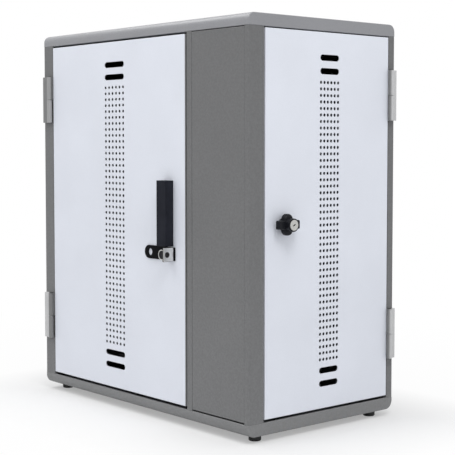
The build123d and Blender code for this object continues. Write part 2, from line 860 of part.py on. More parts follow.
front_cam_plane = front_face(front_door_y - cam_y)
pieces["latch_cam"] = cam_arm(front_cam_plane, latch_cam_len)
front_spacer = cam_y - front_door_y - door_sheet - spacer_gap
pieces["latch_cam_fixings"] = cam_fixings(front_cam_plane, front_spacer)

# Side lock. Its planes face outwards, local x to the back and local y up.
knob_y = side_door_front + knob_to_edge
cam_x = x_right - lip_depth - sheet - cam_behind_leg


def side_face(out):
    return Plane(origin=(side_door_x + out, knob_y, side_door_z), x_dir=(0, 1, 0), z_dir=(1, 0, 0))


with BuildPart() as knob_base:
    with BuildSketch(side_face(0)):
        Circle(knob_base_r)
        Circle(spindle_r + spindle_clearance, mode=Mode.SUBTRACT)
    extrude(amount=knob_base_h)
    fillet(knob_base.faces().sort_by(Axis.X)[-1].outer_wire().edges(), knob_base_edge_r)
pieces["knob_base"] = knob_base

knob_low = knob_base_h + knob_base_gap
knob_spindle_len = side_door_x - (cam_x - cam_t - cam_nut_h - spindle_over_nut)
with BuildPart() as wing_knob:
    with BuildSketch(side_face(knob_lobe_start)):
        RectangleRounded(knob_lobe_w, knob_lobe_tall, knob_lobe_corner_r)
    extrude(amount=knob_lobe_end - knob_lobe_start)
    fillet(wing_knob.faces().sort_by(Axis.X)[-1].edges(), knob_lobe_edge_r)
    fillet(wing_knob.faces().sort_by(Axis.X)[0].edges(), knob_base_edge_r)
    with BuildSketch(side_face(knob_low)):
        Circle(knob_stem_r)
    extrude(amount=knob_lobe_end - knob_low)
    with BuildSketch(side_face(wing_start)):
        RectangleRounded(wing_len, wing_h, wing_corner_r)
    extrude(amount=wing_end - wing_start)
    fillet(wing_knob.faces().sort_by(Axis.X)[-1].edges(), wing_edge_r)
    with BuildSketch(side_face(knob_lobe_start)):
        Circle(knob_nose_r)
    extrude(amount=knob_out - knob_lobe_start)
    nose_rim = wing_knob.faces().sort_by(Axis.X)[-1].outer_wire().edges()
    fillet(nose_rim, knob_rim_r)
    with BuildSketch(side_face(knob_low)):
        Circle(spindle_r)
    extrude(amount=-(knob_spindle_len + knob_low))
    with BuildSketch(side_face(knob_out - plug_depth)):
        Circle(plug_r + plug_clearance)
    extrude(amount=plug_depth, mode=Mode.SUBTRACT)
pieces["wing_knob"] = wing_knob

with BuildPart() as key_plug:
    with BuildSketch(side_face(knob_out - plug_depth)):
        Circle(plug_r)
    extrude(amount=plug_depth + plug_proud)
    with BuildSketch(side_face(knob_out + plug_proud - keyway_depth)):
        Rectangle(keyway_w, keyway_h, rotation=-keyway_turn)
    extrude(amount=keyway_depth, mode=Mode.SUBTRACT)
pieces["key_plug"] = key_plug

side_cam_plane = side_face(cam_x - side_door_x)
pieces["knob_cam"] = cam_arm(side_cam_plane, side_cam_len)
side_spacer = side_door_x - door_sheet - spacer_gap - cam_x
pieces["knob_cam_fixings"] = cam_fixings(side_cam_plane, side_spacer)

# Rubber pads that the closed doors rest on
pad_zs = [front_door_z + (number - (pad_count - 1) / 2) * pad_pitch for number in range(pad_count)]
pad_from_edge = strike_leg_w - pad_r
with BuildPart() as door_pads:
    for pad_z in pad_zs:
        front_pad = (mid_post_left - pad_from_edge, y_front + lip_depth, pad_z)
        with BuildSketch(Plane(origin=front_pad, z_dir=(0, -1, 0))):
            Circle(pad_r)
        extrude(amount=pad_t)
        side_pad = (x_right - lip_depth, side_stile_edge + pad_from_edge, pad_z)
        with BuildSketch(Plane(origin=side_pad, z_dir=(1, 0, 0))):
            Circle(pad_r)
        extrude(amount=pad_t)
pieces["door_pads"] = door_pads

# Adapter trays on the divider, with air slots, a lip and a flange
tray_front = y_front + tray_front_back
tray_back = back_panel_y - tray_back_gap
tray_x = mid_post_right + tray_w / 2
for number in range(1, tray_count + 1):
    tray_z = z_low + number * body_h / (tray_count + 1)
    with BuildPart() as tray:
        with BuildSketch(Plane.XY.offset(tray_z)):
            plan_bar(mid_post_right, mid_post_right + tray_w, tray_front, tray_back)
            with Locations((tray_x, (tray_front + tray_back) / 2)):
                with GridLocations(0, tray_slot_pitch, 1, tray_slot_count):
                    SlotOverall(tray_slot_len, tray_slot_w, mode=Mode.SUBTRACT)
        extrude(amount=tray_t)
        with BuildSketch(Plane.XY.offset(tray_z)):
            plan_bar(mid_post_right + tray_w - tray_t, mid_post_right + tray_w, tray_front, tray_back)
        extrude(amount=tray_lip)
        with BuildSketch(Plane.XY.offset(tray_z)):
            plan_bar(mid_post_right, mid_post_right + tray_t, tray_front, tray_back)
        extrude(amount=-tray_flange)
    pieces[f"adapter_tray_{number}"] = tray

# Power strip with its outlets, standing on the back panel
strip_x = mid_post_right + strip_side + strip_w / 2
strip_z = z_low + strip_bottom + strip_h / 2
strip_front = Plane(
    origin=(strip_x, back_panel_y - strip_t, strip_z), x_dir=(1, 0, 0), z_dir=(0, -1, 0)
)
with BuildPart() as power_strip:
    with BuildSketch(strip_front):
        Rectangle(strip_w, strip_h)
    extrude(amount=-strip_t)
    fillet(power_strip.faces().sort_by(Axis.Y)[0].edges(), strip_edge_r)
pieces["power_strip"] = power_strip

with BuildPart() as outlet_sockets:
    with BuildSketch(strip_front):
        with GridLocations(0, outlet_pitch, 1, outlet_count):
            Circle(outlet_r)
    extrude(amount=outlet_t)
    with BuildSketch(strip_front.offset(outlet_floor)):
        with GridLocations(0, outlet_pitch, 1, outlet_count):
            with GridLocations(outlet_pin_pitch, 0, 2, 1):
                Circle(outlet_pin_r)
            with Locations((0, outlet_earth_drop)):
                Circle(outlet_pin_r)
    extrude(amount=outlet_t, mode=Mode.SUBTRACT)
pieces["outlet_sockets"] = outlet_sockets

# Charging control unit on the floor deck, with two lights
control_x = mid_post_right + control_side + control_w / 2
control_y = y_front + control_front + control_d / 2
with BuildPart() as control_unit:
    with BuildSketch(Plane.XY.offset(floor_z)):
        with Locations((control_x, control_y)):
            RectangleRounded(control_w, control_d, strip_edge_r)
    extrude(amount=control_h)
    chamfer(control_unit.faces().sort_by(Axis.Z)[-1].edges(), seam_chamfer)
    light_face = Plane(
        origin=(control_x + control_w / 2, control_y, floor_z + control_h / 2), z_dir=(1, 0, 0)
    )
    with BuildSketch(light_face):
        with GridLocations(control_light_pitch, 0, 2, 1):
            Circle(control_light_r)
    extrude(amount=control_light_t)
pieces["control_unit"] = control_unit


# A box of the back wall, seen from behind: given by its middle, its size and its depth span
def back_box(x, z, width, height, y_from, y_to, mode=Mode.ADD):
    with BuildSketch(Plane(origin=(x, y_from, z), x_dir=(-1, 0, 0), z_dir=(0, 1, 0))) as section:
        Rectangle(width, height)
    extrude(section.sketch, amount=y_to - y_from, mode=mode)


# Power inlet in the back panel
outside_y = back_panel_y + sheet
with BuildPart() as power_inlet:
    back_box(inlet_x, inlet_z, inlet_flange_w, inlet_flange_h, outside_y, outside_y + inlet_flange_t)
    back_box(inlet_x, inlet_z, inlet_w, inlet_h, outside_y - inlet_depth, outside_y)
    cavity_w = inlet_w - 2 * inlet_wall
    cavity_h = inlet_h - 2 * inlet_wall
    cavity_back = outside_y - inlet_depth + inlet_wall
    back_box(inlet_x, inlet_z, cavity_w, cavity_h, cavity_back, outside_y + inlet_flange_t, Mode.SUBTRACT)
    for pin_x, pin_z in ((-inlet_pin_pitch, -inlet_pin_drop), (0, inlet_pin_drop), (inlet_pin_pitch, -inlet_pin_drop)):
        pin_from = (inlet_x + pin_x, inlet_z + pin_z)
        back_box(*pin_from, inlet_pin_t, inlet_pin_w, cavity_back, cavity_back + inlet_pin_len)
pieces["power_inlet"] = power_inlet

# Mains switch: a housing in the back panel and a rocker that tilts in it
rocker_y = outside_y - rocker_in
hollow_w = rocker_w + 2 * rocker_gap
hollow_h = rocker_h + 2 * rocker_gap
with BuildPart() as switch_housing:
    frame_w = hollow_w + 2 * rocker_wall
    frame_h = hollow_h + 2 * rocker_wall
    flange = 2 * rocker_flange
    back_box(inlet_x, rocker_z, frame_w + flange, frame_h + flange, outside_y, outside_y + rocker_flange_t)
    back_box(inlet_x, rocker_z, frame_w, frame_h, outside_y - rocker_depth, outside_y)
    hollow_from = outside_y - rocker_depth + rocker_wall
    back_box(inlet_x, rocker_z, hollow_w, hollow_h, hollow_from, outside_y + rocker_flange_t, Mode.SUBTRACT)
    with BuildSketch(Plane(origin=(inlet_x - hollow_w / 2 - rocker_pin_len, rocker_y, rocker_z), z_dir=(1, 0, 0))):
        Circle(rocker_pin_r + pin_clearance)
    extrude(amount=hollow_w + 2 * rocker_pin_len, mode=Mode.SUBTRACT)
pieces["switch_housing"] = switch_housing

rocker_plane = Plane(
    origin=(inlet_x, rocker_y, rocker_z),
    x_dir=Vector(0, 1, 0).rotate(Axis.X, rocker_tilt),
    z_dir=(1, 0, 0),
)
with BuildPart() as rocker_switch:
    with BuildSketch(rocker_plane):
        Rectangle(rocker_body, rocker_h)
    extrude(amount=rocker_w / 2, both=True)
    chamfer(rocker_switch.edges(), rocker_edge)
    with BuildSketch(rocker_plane):
        Circle(rocker_pin_r)
    extrude(amount=rocker_w / 2 + rocker_gap + rocker_pin_len - hole_clearance, both=True)
pieces["rocker_switch"] = rocker_switch

# Feet and their screws
with BuildPart() as feet:
    with BuildSketch(Plane.XY.offset(ground_z)):
        with Locations(*foot_places):
            Circle(foot_r)
    extrude(amount=foot_h)
    chamfer(feet.faces().filter_by(Axis.Z).group_by(Axis.Z)[0].edges(), foot_chamfer)
    with BuildSketch(Plane.XY.offset(ground_z)):
        with Locations(*foot_places):
            Circle(foot_screw_head_r + foot_head_clearance)
    extrude(amount=foot_recess, mode=Mode.SUBTRACT)
    with BuildSketch(Plane.XY.offset(ground_z)):
        with Locations(*foot_places):
            Circle(foot_screw_r + hole_clearance)
    extrude(amount=foot_h, mode=Mode.SUBTRACT)
pieces["feet"] = feet

with BuildPart() as foot_screws:
    with BuildSketch(Plane.XY.offset(ground_z + foot_recess - foot_screw_head_h)):
        with Locations(*foot_places):
            Circle(foot_screw_head_r)
    extrude(amount=foot_screw_head_h)
    with BuildSketch(Plane.XY.offset(ground_z + foot_recess)):
        with Locations(*foot_places):
            Circle(foot_screw_r)
    extrude(amount=foot_h - foot_recess + cap_t + foot_screw_up)
pieces["foot_screws"] = foot_screws

# Every piece goes to its own file.
os.makedirs("parts", exist_ok=True)
for label, piece in pieces.items():
    piece.part.label = label
    export_step(piece.part, f"parts/{label}.step")
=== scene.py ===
import math

import bmesh
import bpy
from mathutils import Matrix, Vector


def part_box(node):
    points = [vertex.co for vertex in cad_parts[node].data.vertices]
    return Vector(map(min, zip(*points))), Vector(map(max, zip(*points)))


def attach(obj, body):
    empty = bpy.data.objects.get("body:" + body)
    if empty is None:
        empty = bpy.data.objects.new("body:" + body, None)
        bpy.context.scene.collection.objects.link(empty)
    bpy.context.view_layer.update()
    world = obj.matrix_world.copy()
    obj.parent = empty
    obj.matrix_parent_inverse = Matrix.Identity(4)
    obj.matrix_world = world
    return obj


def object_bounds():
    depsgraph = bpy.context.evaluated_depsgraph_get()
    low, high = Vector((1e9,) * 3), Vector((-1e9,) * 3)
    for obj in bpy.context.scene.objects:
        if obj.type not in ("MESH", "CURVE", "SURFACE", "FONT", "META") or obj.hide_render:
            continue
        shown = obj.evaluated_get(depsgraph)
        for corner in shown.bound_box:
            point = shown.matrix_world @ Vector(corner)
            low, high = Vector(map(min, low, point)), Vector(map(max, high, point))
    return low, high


bl_info = {
    "name": "Tablet Charging Cabinet",
    "version": (1, 0, 0),
    "blender": (4, 5, 0),
    "location": "3D View > Sidebar > Cabinet",
    "description": "Finishes a tablet charging cabinet and sets up its studio",
    "category": "Object",
}

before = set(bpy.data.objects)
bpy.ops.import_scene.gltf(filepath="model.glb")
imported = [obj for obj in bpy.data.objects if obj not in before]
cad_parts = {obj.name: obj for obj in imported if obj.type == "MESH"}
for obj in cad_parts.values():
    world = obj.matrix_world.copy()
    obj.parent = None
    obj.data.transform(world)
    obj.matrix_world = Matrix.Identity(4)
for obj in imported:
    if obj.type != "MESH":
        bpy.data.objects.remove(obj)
cad_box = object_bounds()

# Lengths are in metres, the width of the camera's sensor in millimetres

# Noise textures seldom leave this range
NOISE_LOW, NOISE_HIGH = 0.3, 0.7

# Height at which the painted shade that darkens a coat towards the top is full
TOP_SHADE_HEIGHT = 0.6

# Rivets along the upper and the lower edge of the back panel
RIVET_RADIUS = 0.0026
RIVET_HEIGHT = 0.0009
RIVET_INSET = 0.009
RIVETS_IN_ROW = 7
HEAD_RINGS = 5
HEAD_SIDES = 20

ZINC = (0.55, 0.55, 0.52)

WHITE = (1, 1, 1, 1)
SKY_WHITE = (0.97, 0.98, 1.0, 1)

FLOOR_REACH = 6.0
FLOOR_CELLS = 12

# How white the floor is at the cabinet's foot and where its shade ends
WHITE_AT_FOOT = 0.36
WHITE_PAST_SHADE = 0.95
SHADE_REACH = 0.16

# Distances from which the floor is seen in gloss, and is all white
MIRRORED_FROM = 0.15
ALL_WHITE_FROM = 0.8

# The sky's light falls off by this share below and grows by it above
SKY_SPREAD = 0.35

LAMP_WIDTH = 0.8
SENSOR_WIDTH = 36


# Sizes and colours that a user would change

class CabinetColours(bpy.types.PropertyGroup):
    frame_grey: bpy.props.FloatVectorProperty(
        name="Frame grey",
        description="Powder coat of the posts, the walls and the panel",
        subtype="COLOR",
        size=3,
        min=0,
        max=1,
        default=(0.179, 0.18, 0.182),
    )
    cap_grey: bpy.props.FloatVectorProperty(
        name="Cap grey",
        description="Powder coat of the top cap",
        subtype="COLOR",
        size=3,
        min=0,
        max=1,
        default=(0.26, 0.262, 0.276),
    )
    door_white: bpy.props.FloatVectorProperty(
        name="Door white",
        description="Powder coat of both doors",
        subtype="COLOR",
        size=3,
        min=0,
        max=1,
        default=(0.74, 0.765, 0.83),
    )
    base_grey: bpy.props.FloatVectorProperty(
        name="Base grey",
        description="Powder coat of the base cap",
        subtype="COLOR",
        size=3,
        min=0,
        max=1,
        default=(0.212, 0.213, 0.214),
    )
    inner_grey: bpy.props.FloatVectorProperty(
        name="Inner grey",
        description="Powder coat of the shelves, the divider and the trays",
        subtype="COLOR",
        size=3,
        min=0,
        max=1,
        default=(0.32, 0.325, 0.335),
    )
    lock_black: bpy.props.FloatVectorProperty(
        name="Lock black",
        description="Black of the pull, the padlock plate and the knob",
        subtype="COLOR",
        size=3,
        min=0,
        max=1,
        default=(0.0084, 0.009, 0.0118),
    )
    # Lighter and darker copies of this grey paint reflections and shade on the hinges
    hinge_grey: bpy.props.FloatVectorProperty(
        name="Hinge grey",
        description="Painted metal of the hinge leaves",
        subtype="COLOR",
        size=3,
        min=0,
        max=1,
        default=(0.55, 0.55, 0.55),
    )


class CabinetCoating(bpy.types.PropertyGroup):
    grain_size: bpy.props.FloatProperty(
        name="Grain size",
        description="Width of the bumps in the powder coat",
        subtype="DISTANCE",
        unit="LENGTH",
        min=0.0002,
        max=0.01,
        default=0.0011,
    )
    grain_height: bpy.props.FloatProperty(
        name="Grain height",
        description="Height of the bumps in the powder coat",
        subtype="DISTANCE",
        unit="LENGTH",
        min=0.0,
        max=0.001,
        default=0.00004,
    )
    edge_width: bpy.props.FloatProperty(
        name="Edge width",
        description="Width of the thin paint along the bends and edges",
        subtype="DISTANCE",
        unit="LENGTH",
        min=0.0001,
        max=0.005,
        default=0.0009,
    )


class CabinetStudio(bpy.types.PropertyGroup):
    camera_place: bpy.props.FloatVectorProperty(
        name="Camera place",
        description="Where the camera stands",
        subtype="TRANSLATION",
        unit="LENGTH",
        size=3,
        default=(1.4633, -1.2169, 0.4209),
    )
    camera_turn: bpy.props.FloatProperty(
        name="Camera turn",
        description="Heading of the camera about the vertical",
        subtype="ANGLE",
        unit="ROTATION",
        default=math.radians(49.402),
    )
    camera_drop: bpy.props.FloatProperty(
        name="Camera drop",
        description="How far the camera looks below the horizon",
        subtype="ANGLE",
        unit="ROTATION",
        default=math.radians(3.136),
    )
    lens: bpy.props.FloatProperty(
        name="Lens",
        description="Focal length in millimetres on a 36 mm sensor",
        min=20,
        max=300,
        default=94.12,
    )
    lens_shift: bpy.props.FloatProperty(
        name="Lens shift",
        description="Vertical shift of the lens, as a share of the frame",
        min=-0.5,
        max=0.5,
        default=-0.045,
    )
    sky_strength: bpy.props.FloatProperty(
        name="Sky strength",
        description="Strength of the even light from all round",
        min=0,
        max=5,
        default=0.62,
    )
    key_power: bpy.props.FloatProperty(
        name="Key power",
        description="Power of the large lamp to the left of the camera",
        subtype="POWER",
        unit="POWER",
        min=0,
        max=500,
        default=8,
    )
    fill_power: bpy.props.FloatProperty(
        name="Fill power",
        description="Power of the large lamp to the right of the camera",
        subtype="POWER",
        unit="POWER",
        min=0,
        max=500,
        default=17,
    )
    top_power: bpy.props.FloatProperty(
        name="Top power",
        description="Power of the lamp high on the left, which lights the rounded edge of the top",
        subtype="POWER",
        unit="POWER",
        min=0,
        max=500,
        default=5,
    )


# Helpers for the finishes

def start_finish(name):
    finish = bpy.data.materials.new(name)
    finish.use_nodes = True
    return finish, finish.node_tree, finish.node_tree.nodes["Principled BSDF"]


def put(tree, kind, inputs=None, **settings):
    """Add a node, and link or fill in its inputs."""
    node = tree.nodes.new(kind)
    for key, value in settings.items():
        setattr(node, key, value)
    for key, value in (inputs or {}).items():
        if isinstance(value, bpy.types.NodeSocket):
            tree.links.new(value, node.inputs[key])
        else:
            node.inputs[key].default_value = value
    return node


def reckon(tree, operation, *numbers):
    """Work out one number from others, such as their sum."""
    return put(tree, "ShaderNodeMath", dict(enumerate(numbers)), operation=operation).outputs[0]


def reckon_vectors(tree, operation, *vectors):
    """Work with places or directions; the result is at Vector or, for a length, at Value."""
    inputs = dict(enumerate(vectors))
    return put(tree, "ShaderNodeVectorMath", inputs, operation=operation).outputs


def place_on_piece(tree):
    return put(tree, "ShaderNodeTexCoord").outputs["Object"]


def along(tree, vector, axis):
    """The part of a place or direction that lies along one axis."""
    return put(tree, "ShaderNodeSeparateXYZ", {"Vector": vector}).outputs[axis]


def sideways(tree):
    """How far a face is turned to either side of the cabinet."""
    facing = put(tree, "ShaderNodeTexCoord").outputs["Normal"]
    return reckon(tree, "ABSOLUTE", along(tree, facing, "X"))


def stretch(tree, place, scale):
    return put(tree, "ShaderNodeMapping", {"Vector": place, "Scale": scale}).outputs["Vector"]


def noise(tree, place, size, detail=2.0, roughness=0.5):
    """Noise with blobs of about this size."""
    inputs = {"Vector": place, "Scale": 1 / size, "Detail": detail, "Roughness": roughness}
    return put(tree, "ShaderNodeTexNoise", inputs).outputs["Fac"]


def fit(tree, value, low, high, to_low, to_high):
    """Carry a value from one range to another, and stop at its ends."""
    inputs = {
        "Value": value,
        "From Min": low,
        "From Max": high,
        "To Min": to_low,
        "To Max": to_high,
    }
    return put(tree, "ShaderNodeMapRange", inputs).outputs["Result"]


def fit_noise(tree, value, to_low=0.0, to_high=1.0):
    """Spread noise over a range."""
    return fit(tree, value, NOISE_LOW, NOISE_HIGH, to_low, to_high)


def blend_colours(tree, share, first, second):
    """Blend two colours by a share; the Mix node's colour sockets are inputs 6 and 7, output 2."""
    first, second = [
        end if isinstance(end, bpy.types.NodeSocket) else (*end, 1) for end in (first, second)
    ]
    inputs = {0: share, 6: first, 7: second}
    return put(tree, "ShaderNodeMix", inputs, data_type="RGBA").outputs[2]


def edge_mask(tree, width):
    """1 along the bends and edges, to the width on either side, and 0 on the flats."""
    rounded = put(tree, "ShaderNodeBevel", {"Radius": width}, samples=4).outputs["Normal"]
    flat = put(tree, "ShaderNodeNewGeometry").outputs["Normal"]
    agreement = reckon_vectors(tree, "DOT_PRODUCT", rounded, flat)["Value"]
    return fit(tree, agreement, 0.99, 0.75, 0.0, 1.0)


def wear_edges(tree, width, most, coat, bare):
    """Blend the bare colour into the coat along the edges."""
    share = fit(tree, edge_mask(tree, width), 0.0, 1.0, 0.0, most)
    return blend_colours(tree, share, coat, bare)


def times(colour, factor):
    """A colour with each channel multiplied."""
    return tuple(channel * factor for channel in colour)


def shades(colour, spread):
    """A darker and a lighter shade of a colour."""
    return [tuple(min(1, channel * (1 + side * spread)) for channel in colour) for side in (-1, 1)]


def raise_grain(tree, shader, height, distance, strength=0.6):
    inputs = {"Strength": strength, "Distance": distance, "Height": height}
    bump = put(tree, "ShaderNodeBump", inputs)
    tree.links.new(bump.outputs["Normal"], shader.inputs["Normal"])


def powder_coat(
    name,
    colour,
    coating,
    gloss=0.42,
    pepper=0.10,
    edge_gain=0.08,
    shine=0.5,
    mottle=0.0,
    painted_top_shade=0.0,
):
    """Baked powder coat: a fine orange peel, a faint pepper and thinner paint along the edges.

    A painted shade may darken the coat towards the top of the cabinet, in place of the brighter
    reflected light low down.
    """
    finish, tree, shader = start_finish(name)
    place = place_on_piece(tree)
    peel = noise(tree, place, size=coating.grain_size * 2.2)
    grain = noise(tree, place, size=coating.grain_size * 0.8, detail=1.0)
    cloud = noise(tree, place, size=0.11, detail=3.0)
    patches = noise(tree, place, size=0.003)
    cells = put(tree, "ShaderNodeTexVoronoi", {"Vector": place, "Scale": 1 / coating.grain_size})
    one_cell = put(
        tree, "ShaderNodeSeparateColor", {"Color": cells.outputs["Color"]}
    ).outputs["Red"]
    dark, light = shades(colour, spread=0.025)
    speck = times(colour, 0.4)
    clouded = blend_colours(tree, fit_noise(tree, cloud), dark, light)
    # Painted shade: the coat darkens towards the top, where reflected light is dimmer than low
    # down
    top_shade_share = fit(tree, along(tree, place, "Z"), 0.0, TOP_SHADE_HEIGHT, 0.0, painted_top_shade)
    top_shaded = blend_colours(tree, top_shade_share, clouded, speck)
    mottling = fit(tree, patches, 0.35, 0.65, 0.0, mottle)
    mottled = blend_colours(tree, mottling, top_shaded, speck)
    peppered = blend_colours(tree, fit(tree, one_cell, 0.55, 1.0, 0.0, pepper), mottled, speck)
    worn = wear_edges(
        tree, coating.edge_width, most=edge_gain, coat=peppered, bare=(0.8, 0.8, 0.8)
    )
    tree.links.new(worn, shader.inputs["Base Color"])
    roughness = fit_noise(tree, grain, gloss - 0.04, gloss + 0.05)
    tree.links.new(roughness, shader.inputs["Roughness"])
    shader.inputs["Specular IOR Level"].default_value = shine
    raise_grain(tree, shader, reckon(tree, "ADD", peel, grain), coating.grain_height)
    return finish


def paint_shade_on_sides(finish, side_shade):
    """Paint shade on the faces turned sideways, such as a door's upright returns in the shade of
    the gaps: a grey is blended in there.
    """
    tree = finish.node_tree
    base = tree.nodes["Principled BSDF"].inputs["Base Color"]
    top_coat = base.links[0].from_socket
    share = fit(tree, sideways(tree), 0.6, 0.9, 0.0, 1.0)
    tree.links.new(blend_colours(tree, share, top_coat, side_shade), base)


def satin_metal(name, colour, gloss, grain_size=0.0006):
    """Plated or brushed metal: fine upright streaks, faint clouds and bright edges."""
    finish, tree, shader = start_finish(name)
    place = place_on_piece(tree)
    drawn = stretch(tree, place, scale=(1, 1, 0.04))
    streak = noise(tree, drawn, size=grain_size, detail=3.0, roughness=0.6)
    cloud = noise(tree, place, size=0.012, detail=3.0)
    dark, light = shades(colour, spread=0.10)
    streaked = blend_colours(tree, fit_noise(tree, streak), dark, light)
    dulling = fit(tree, cloud, 0.45, 0.75, 0.0, 0.5)
    clouded = blend_colours(tree, dulling, streaked, times(colour, 0.82))
    bright = tuple(min(1, channel * 1.5) for channel in colour)
    worn = wear_edges(tree, width=0.0004, most=0.5, coat=clouded, bare=bright)
    tree.links.new(worn, shader.inputs["Base Color"])
    shader.inputs["Metallic"].default_value = 1.0
    roughness = fit_noise(tree, streak, gloss - 0.06, gloss + 0.08)
    tree.links.new(roughness, shader.inputs["Roughness"])
    raise_grain(tree, shader, streak, distance=0.00001, strength=0.5)
    return finish


def moulded_plastic(name, colour, gloss, grain_size=0.0007, grain_height=0.00002, shine=0.5):
    """Moulded plastic or rubber: an even spark grain, faint clouds and polished edges."""
    finish, tree, shader = start_finish(name)
    place = place_on_piece(tree)
    grain = noise(tree, place, size=grain_size)
    cloud = noise(tree, place, size=0.02, detail=3.0)
    dark, light = shades(colour, spread=0.12)
    clouded = blend_colours(tree, fit_noise(tree, cloud), dark, light)
    rubbed = tuple(channel + 0.25 for channel in colour)
    worn = wear_edges(tree, width=0.0006, most=0.04, coat=clouded, bare=rubbed)
    tree.links.new(worn, shader.inputs["Base Color"])
    roughness = fit_noise(tree, grain, gloss - 0.05, gloss + 0.08)
    tree.links.new(roughness, shader.inputs["Roughness"])
    shader.inputs["Specular IOR Level"].default_value = shine
    raise_grain(tree, shader, grain, grain_height)
    return finish


def hinge_with_painted_reflections(name, pin_node, leaf, knuckle, upper_leaf, upper_knuckle, reach, aside=0.0):
    """Hinge metal with painted reflections: lit and shaded copies of one grey on knuckle and flat
    leaf, which differ between upper and lower hinge.

    The knuckle's painted tone ends at the reach from the pin's axis, moved aside along Y, which
    can give part of the barrel the leaf's tone as a painted highlight.
    """
    finish, tree, shader = start_finish(name)
    low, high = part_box(pin_node)
    axis = (low + high) / 2 + Vector((0, aside, 0))
    place = place_on_piece(tree)
    level = stretch(tree, place, scale=(1, 1, 0))
    away = reckon_vectors(tree, "DISTANCE", level, (axis.x, axis.y, 0))["Value"]
    on_leaf = fit(tree, away, reach, reach + 0.001, 0.0, 1.0)
    is_upper = fit(tree, along(tree, place, "Z"), axis.z - 0.01, axis.z + 0.01, 0.0, 1.0)
    grain = noise(tree, place, size=0.0009, detail=3.0, roughness=0.6)
    cloud = noise(tree, place, size=0.02, detail=3.0)
    # Painted reflections: the upper hinge takes other tones than the lower one
    flat_part = blend_colours(tree, is_upper, leaf, upper_leaf)
    round_part = blend_colours(tree, is_upper, knuckle, upper_knuckle)
    based = blend_colours(tree, on_leaf, round_part, flat_part)
    dulling = fit(tree, reckon(tree, "MULTIPLY", grain, cloud), 0.2, 0.45, 0.0, 0.16)
    clouded = blend_colours(tree, dulling, based, (0.05, 0.05, 0.05))
    worn = wear_edges(tree, width=0.0005, most=0.25, coat=clouded, bare=(0.75, 0.75, 0.74))
    tree.links.new(worn, shader.inputs["Base Color"])
    tree.links.new(fit_noise(tree, grain, 0.32, 0.46), shader.inputs["Roughness"])
    raise_grain(tree, shader, grain, distance=0.00002)
    return finish


def tab_with_shaded_edges(name):
    """Bright metal faces to both sides, and painted shade, near black, on the edges all round."""
    finish, tree, shader = start_finish(name)
    on_face = fit(tree, sideways(tree), 0.55, 0.85, 0.0, 1.0)
    drawn = stretch(tree, place_on_piece(tree), scale=(1, 1, 0.05))
    streak = noise(tree, drawn, size=0.0005, detail=3.0, roughness=0.6)
    bright = blend_colours(tree, fit_noise(tree, streak), (0.68, 0.68, 0.67), (0.82, 0.82, 0.8))
    # Painted shade: the edges all round are near black, the faces to the sides bright metal
    coloured = blend_colours(tree, on_face, (0.02, 0.02, 0.02), bright)
    tree.links.new(coloured, shader.inputs["Base Color"])
    tree.links.new(on_face, shader.inputs["Metallic"])
    tree.links.new(fit_noise(tree, streak, 0.34, 0.46), shader.inputs["Roughness"])
    raise_grain(tree, shader, streak, distance=0.00001, strength=0.5)
    return finish


# Helpers for the pieces

def dress(finish, *nodes):
    """Give these pieces of the frame one finish."""
    for node in nodes:
        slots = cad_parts[node].data.materials
        slots.clear()
        slots.append(finish)


def nodes_named(start):
    return sorted(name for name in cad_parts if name.startswith(start))


def new_piece(name, mesh, finish, body):
    """Add a smooth piece that the frame doesn't hold, and let it ride on a body."""
    piece = bpy.data.objects.new(name, mesh)
    bpy.context.scene.collection.objects.link(piece)
    mesh.materials.append(finish)
    for face in mesh.polygons:
        face.use_smooth = True
    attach(piece, body)


def domes(places, outwards, radius, height):
    """Low round heads that stand on a wall, as one mesh."""
    shape = bmesh.new()
    out = Vector(outwards).normalized()
    across = out.orthogonal().normalized()
    up = out.cross(across)
    for place in places:
        centre = Vector(place)
        rows = []
        for ring in range(HEAD_RINGS):
            lean = math.pi / 2 * ring / HEAD_RINGS
            reach, lift = radius * math.cos(lean), height * math.sin(lean)
            row = []
            for side in range(HEAD_SIDES):
                turn = 2 * math.pi * side / HEAD_SIDES
                spoke = across * math.cos(turn) + up * math.sin(turn)
                row.append(shape.verts.new(centre + spoke * reach + out * lift))
            rows.append(row)
        tip = shape.verts.new(centre + out * height)
        for lower, upper in zip(rows, rows[1:]):
            for side in range(HEAD_SIDES):
                after = (side + 1) % HEAD_SIDES
                shape.faces.new((lower[side], lower[after], upper[after], upper[side]))
        for side in range(HEAD_SIDES):
            shape.faces.new((rows[-1][side], rows[-1][(side + 1) % HEAD_SIDES], tip))
        shape.faces.new(list(reversed(rows[0])))
    bmesh.ops.recalc_face_normals(shape, faces=shape.faces)
    mesh = bpy.data.meshes.new("heads")
    shape.to_mesh(mesh)
    shape.free()
    return mesh


# One operator for each piece or group of like pieces

class CABINET_OT_frame(bpy.types.Operator):
    """Finish the posts, the walls, the grey panel and the back panel"""

    bl_idname = "cabinet.frame"
    bl_label = "Frame and Walls"

    def execute(self, context):
        colours, coating = context.scene.cabinet_colours, context.scene.cabinet_coating
        # The frame's coat carries a painted shade that darkens it towards the top
        coat = powder_coat(
            "frame_grey_coat", colours.frame_grey, coating, shine=0.4, mottle=0.23, painted_top_shade=0.27
        )
        dress(coat, "left_panel", "mid_post", "corner_post", "rear_post")
        dress(coat, "front_panel", "back_panel")
        low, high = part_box("back_panel")
        row_length = high.x - low.x - 2 * RIVET_INSET
        places = []
        for number in range(RIVETS_IN_ROW):
            x = low.x + RIVET_INSET + row_length * number / (RIVETS_IN_ROW - 1)
            places += [(x, high.y, low.z + RIVET_INSET), (x, high.y, high.z - RIVET_INSET)]
        rivets = domes(places, (0, 1, 0), RIVET_RADIUS, RIVET_HEIGHT)
        new_piece("back_rivets", rivets, coat, "cabinet")
        return {"FINISHED"}


